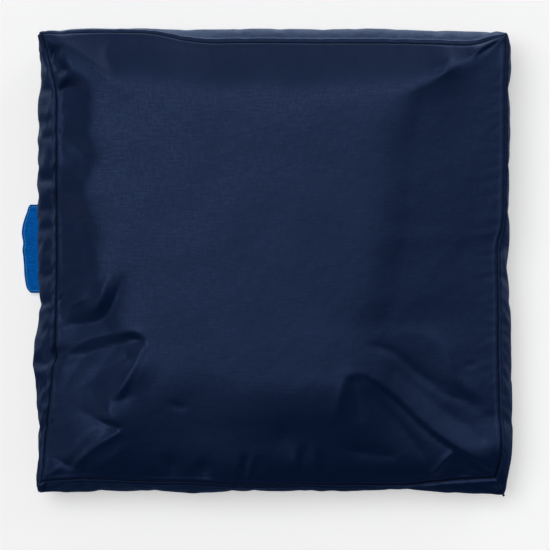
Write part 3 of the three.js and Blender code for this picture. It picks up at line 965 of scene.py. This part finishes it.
def cloth_material(name, cloth):
    material, tree, shader = new_material(name)
    uv = node(tree, "ShaderNodeUVMap", uv_map="cloth").outputs["UV"]
    edge_distance = node(tree, "ShaderNodeAttribute", attribute_name="from_edge").outputs["Fac"]
    crinkle = node(tree, "ShaderNodeTexNoise", {"Vector": uv, **CRINKLES}).outputs["Fac"]
    inputs = {"Cloth": uv, "Threads per metre": cloth.threads}
    weave = node(tree, "ShaderNodeGroup", inputs, node_tree=WEAVE)
    threads, slubs = weave.outputs["Height"], weave.outputs["Slubs"]

    relief = {}
    for height, depth in ((crinkle, cloth.crinkle), (slubs, cloth.slub_height), (threads, cloth.weave)):
        inputs = {"Strength": 1.0, "Distance": depth * MM, "Height": height, **relief}
        relief = {"Normal": node(tree, "ShaderNodeBump", inputs).outputs["Normal"]}

    shade = map_range(tree, slubs, SLUB_SPREAD, (1 - cloth.slubs, 1 + cloth.slubs))
    # Painted shade: on the navy cloth this darkens the colour along the seam's groove in place of the
    # groove's own shadow; on the tab it darkens the border.
    edge_shade = map_range(tree, edge_distance, cloth.edge, (cloth.edge_shade, 1))
    colour = scaled_colour(tree, cloth.colour, combine(tree, "MULTIPLY", shade, edge_shade))
    dull, bright = cloth.roughness * (1 + cloth.slubs), cloth.roughness * (1 - cloth.slubs)
    rough = map_range(tree, slubs, SLUB_SPREAD, (dull, bright))
    edge_dull = map_range(tree, edge_distance, cloth.edge, (cloth.edge_dull, 0))
    feed(shader, {"Base Color": colour, "Roughness": combine(tree, "ADD", rough, edge_dull), **relief})
    shader.inputs["Specular Tint"].default_value = (*cloth.tint, 1)
    return material


# The navy cloth's darkening at the edge is painted shade in the seam's groove.
NAVY = Cloth(
    colour=(0.0019, 0.0065, 0.0245), tint=(0.2, 0.29, 0.57), roughness=0.34,
    threads=1400, weave=0.01, crinkle=0.5, slubs=0.2, slub_height=0.12,
    edge=(0.5, 2.0), edge_shade=0.15, edge_dull=0.5,
)
BLUE = Cloth(
    colour=(0.0018, 0.108, 0.435), tint=(0.02, 0.1, 0.4), roughness=0.7,
    threads=1600, weave=0.05, crinkle=0.5, slubs=0.2, slub_height=0.05,
    edge=(1, 2.8), edge_shade=0.6, edge_dull=0.1,
)
cushion.data.materials.append(cloth_material("coated_navy_cloth", NAVY))
tab.data.materials.append(cloth_material("blue_tab_cloth", BLUE))
print("cloth materials: 2")

# %% [markdown]
# ## Stitches on the tab
# A row of light blue thread runs just inside the border of the tab, on both of its faces. The stitches of
# a face all follow one path, so the paths are drawn first, as a curve. They use the same function as the
# tab's own points, so they ripple with the cloth.

# %% Stitch path
STITCH_INSET, STITCH_START = 2.8, 0.3
EDGE_PLACES = 60


def stitch_path(face):
    """Points round the tab's border, from seam to seam, on its upper (1) or lower (-1) face."""
    inner = 1 - STITCH_INSET / (TAB_LENGTH / 2)
    tip = 1 - STITCH_INSET / TAB_REACH
    ends = np.linspace(STITCH_START, tip, EDGE_PLACES)
    out = np.concatenate([ends, np.full(EDGE_PLACES, tip), ends[::-1]])
    one_end, tip_line = np.full(EDGE_PLACES, inner), np.linspace(inner, -inner, EDGE_PLACES)
    along = np.concatenate([one_end, tip_line, -one_end])
    points = tab_point(out, along)
    points[:, 2] += face * TAB_THICKNESS / 2
    return points * MM


def path_curve():
    curve = bpy.data.curves.new("tab_stitch_path", "CURVE")
    curve.dimensions = "3D"
    for face in (1, -1):
        points = stitch_path(face)
        spline = curve.splines.new("POLY")
        spline.points.add(len(points) - 1)
        spline.points.foreach_set("co", np.c_[points, np.ones(len(points))].ravel())
    return curve


path = add_object("tab_stitch_path", path_curve())
print("stitch paths:", len(path.data.splines))

# %% [markdown]
# Geometry Nodes set the stitches out: the path is cut into equal steps, and at each step a small spindle is
# placed and turned along the path. The tree has inputs for the sizes and for the thread, so it could make
# any other row of stitches as well.

# %% Stitch tree
SPINDLE = {"Segments": 6, "Rings": 5, "Radius": 0.5}


def stitch_tree():
    tree = bpy.data.node_groups.new("stitches_along_a_path", "GeometryNodeTree")
    kinds = {"Path": "Geometry", "Pitch": "Float", "Length": "Float", "Width": "Float", "Thread": "Material"}
    for name, kind in kinds.items():
        tree.interface.new_socket(name, in_out="INPUT", socket_type="NodeSocket" + kind)
    tree.interface.new_socket("Stitches", in_out="OUTPUT", socket_type="NodeSocketGeometry")
    start, end = node(tree, "NodeGroupInput"), node(tree, "NodeGroupOutput")
    line, pitch, length, width, thread = (start.outputs[name] for name in kinds)
    steps = node(tree, "GeometryNodeResampleCurve", {"Curve": line, "Length": pitch}, mode="LENGTH")
    tangent = node(tree, "GeometryNodeInputTangent").outputs["Tangent"]
    turn = node(tree, "FunctionNodeAlignRotationToVector", {"Vector": tangent}, axis="Z")
    size = node(tree, "ShaderNodeCombineXYZ", {"X": width, "Y": width, "Z": length})
    inputs = {
        "Points": steps.outputs["Curve"],
        "Instance": node(tree, "GeometryNodeMeshUVSphere", SPINDLE).outputs["Mesh"],
        "Rotation": turn.outputs["Rotation"],
        "Scale": size.outputs["Vector"],
    }
    placed = node(tree, "GeometryNodeInstanceOnPoints", inputs).outputs["Instances"]
    plain = node(tree, "GeometryNodeRealizeInstances", {"Geometry": placed}).outputs["Geometry"]
    finish = node(tree, "GeometryNodeSetMaterial", {"Geometry": plain, "Material": thread})
    feed(end, {"Stitches": finish.outputs["Geometry"]})
    return tree


STITCH_TREE = stitch_tree()
print("stitch tree:", len(STITCH_TREE.nodes), "nodes")

# %% [markdown]
# The thread is fairly matt, with a fine twist in its shade. The stitches lie a little apart, so their
# pitch is longer than one stitch. The result is turned into a plain mesh, and the path has then done its
# work.

# %% Tab stitches
STITCH_SIZES = {"Pitch": 2.8, "Length": 2.3, "Width": 0.9}
THREAD_COLOUR, THREAD_ROUGHNESS, TWISTS_PER_METRE = (0.08, 0.4, 0.8), 0.6, 2500.0
TWIST_SPREAD, TWIST_SHADE = (0.3, 0.7), (0.8, 1.2)


def thread_material():
    material, tree, shader = new_material("light_blue_thread")
    place = node(tree, "ShaderNodeTexCoord").outputs["Object"]
    twist = node(tree, "ShaderNodeTexNoise", {"Vector": place, "Scale": TWISTS_PER_METRE, "Detail": 1.0})
    shade = map_range(tree, twist.outputs["Fac"], TWIST_SPREAD, TWIST_SHADE)
    feed(shader, {"Base Color": scaled_colour(tree, THREAD_COLOUR, shade), "Roughness": THREAD_ROUGHNESS})
    return material


row = path.modifiers.new("stitches", "NODES")
row.node_group = STITCH_TREE
inputs = {name: size * MM for name, size in STITCH_SIZES.items()} | {"Thread": thread_material()}
for name, value in inputs.items():
    row[STITCH_TREE.interface.items_tree[name].identifier] = value
depsgraph = bpy.context.evaluated_depsgraph_get()
stitch_mesh = bpy.data.meshes.new_from_object(path.evaluated_get(depsgraph), depsgraph=depsgraph)
stitches = add_object("tab_stitches", stitch_mesh)
smooth_faces(stitch_mesh)
bpy.data.objects.remove(path)
print("stitches:", len(stitch_mesh.polygons), "faces")

# %% [markdown]
# ## Floor and light
# The floor is a wide pale sheet that glows a little, so that it stays nearly white. A broad soft lamp
# stands high at the upper left and gives a weak shadow to the right and below. The cloth is so dark that
# little shows but its shine, and a shine shows what it mirrors. So the room round the cushion is made
# brighter on some sides than on others. Matt surfaces are lit by an even, dim room instead.

# %% Floor and lamp
FLOOR_COLOUR, FLOOR_ROUGHNESS, FLOOR_GLOW = (0.8, 0.8, 0.8, 1), 0.9, 0.39
FLOOR_HALF, FLOOR_DROP = 6, 0.0005
LAMP_FROM, LAMP_STRENGTH, LAMP_SPREAD = (-0.29, 0.22, 1), 1.5, 42


def floor_material():
    material, _, shader = new_material("pale_floor")
    inputs = {
        "Base Color": FLOOR_COLOUR,
        "Roughness": FLOOR_ROUGHNESS,
        "Specular IOR Level": 0,
        "Emission Color": (1, 1, 1, 1),
        "Emission Strength": FLOOR_GLOW,
    }
    feed(shader, inputs)
    return material


def floor_mesh(half):
    corners = [(-half, -half, 0), (half, -half, 0), (half, half, 0), (-half, half, 0)]
    mesh = bpy.data.meshes.new("floor")
    mesh.from_pydata(corners, [], [(0, 1, 2, 3)])
    return mesh


floor = add_object("floor", floor_mesh(FLOOR_HALF))
floor.location.z = -FLOOR_DROP
floor.data.materials.append(floor_material())
floor.visible_glossy = False

lamp = add_object("soft_lamp", bpy.data.lights.new("soft_lamp", "SUN"))
lamp.data.energy = LAMP_STRENGTH
lamp.data.angle = np.radians(LAMP_SPREAD)
lamp.rotation_euler = Vector(LAMP_FROM).to_track_quat("Z", "Y").to_euler()
lamp.visible_glossy = False
print("lamps: 1")

# %% [markdown]
# The room is brightest at the upper left, a little above the floor, and it fades from there to the lower
# right. A second curve dims its lower left side. Near the floor its light is bluish, and stronger behind
# the cushion than in front of it. Each curve is a Color Ramp, read along one direction of the room.

# %% Room
BRIGHT_SIDE = (-0.55, 0.83, 0)
BRIGHT_STOPS = [
    (-0.6, 0), (-0.44, 0.22), (-0.31, 0.66), (-0.19, 1.1), (0, 1.78), (0.06, 1.96), (0.13, 2.75),
    (0.22, 3.7), (0.34, 2.75), (0.5, 1.32), (0.85, 0.68),
]
LEFT_SIDE = (-0.8, -0.6, 0)
LEFT_STOPS = [(0.28, 1), (0.45, 0.53), (0.6, 0.3), (0.9, 0.23)]
LOW_FRONT, LOW_BACK, FRONT_TO_BACK = (0.036, 0.066, 0.14, 1), (0.908, 1.144, 1.564, 1), (-0.1, 0.9)
LOW_TO_HIGH = (-0.1, 0.2)
EVEN_ROOM, BRIGHTEST = 0.12, 4


def light_curve(tree, place, stops):
    """A strength that follows stops, given as pairs of a place from -1 to 1 and a strength."""
    curve = node(tree, "ShaderNodeValToRGB", {"Fac": map_range(tree, place, (-1, 1), (0, 1))})
    elements = curve.color_ramp.elements
    for number, (at, value) in enumerate(stops):
        element = elements[number] if number < 2 else elements.new(1)
        element.position = (at + 1) / 2
        element.color = (value / BRIGHTEST, value / BRIGHTEST, value / BRIGHTEST, 1)
    return map_range(tree, curve.outputs["Color"], (0, 1), (0, BRIGHTEST))


def towards(tree, direction, side):
    """How far a direction points to one side of the room, from -1 to 1."""
    inputs = {0: direction, 1: side}
    return node(tree, "ShaderNodeVectorMath", inputs, operation="DOT_PRODUCT").outputs["Value"]


def mix(tree, factor, first, second):
    inputs = {"Factor": factor, "A": first, "B": second}
    return node(tree, "ShaderNodeMix", inputs, data_type="RGBA").outputs["Result"]


def room_light():
    """The room that the cloth's shine mirrors, and an even room for matt surfaces."""
    world = bpy.data.worlds.new("soft_room")
    world.use_nodes = True
    tree = world.node_tree
    direction = node(tree, "ShaderNodeTexCoord").outputs["Generated"]
    parts = node(tree, "ShaderNodeSeparateXYZ", {0: direction})
    bright = light_curve(tree, towards(tree, direction, BRIGHT_SIDE), BRIGHT_STOPS)
    left = light_curve(tree, towards(tree, direction, LEFT_SIDE), LEFT_STOPS)
    high = scaled_colour(tree, (1, 1, 1), combine(tree, "MULTIPLY", bright, left))
    low = mix(tree, map_range(tree, parts.outputs["Y"], FRONT_TO_BACK, (0, 1)), LOW_FRONT, LOW_BACK)
    room = mix(tree, map_range(tree, parts.outputs["Z"], LOW_TO_HIGH, (0, 1)), low, high)
    for_matt = node(tree, "ShaderNodeLightPath").outputs["Is Diffuse Ray"]
    light = mix(tree, for_matt, room, (EVEN_ROOM, EVEN_ROOM, EVEN_ROOM, 1))
    feed(tree.nodes["Background"], {"Color": light})
    return world


bpy.context.scene.world = room_light()
bpy.context.scene.view_settings.view_transform = "Standard"
print("room light:", len(bpy.context.scene.world.node_tree.nodes), "nodes")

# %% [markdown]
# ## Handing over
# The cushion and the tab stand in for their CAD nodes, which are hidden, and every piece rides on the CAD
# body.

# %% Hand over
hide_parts("cushion")
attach(cushion, "root")

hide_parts("side_tab")
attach(tab, "root")

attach(stitches, "root")
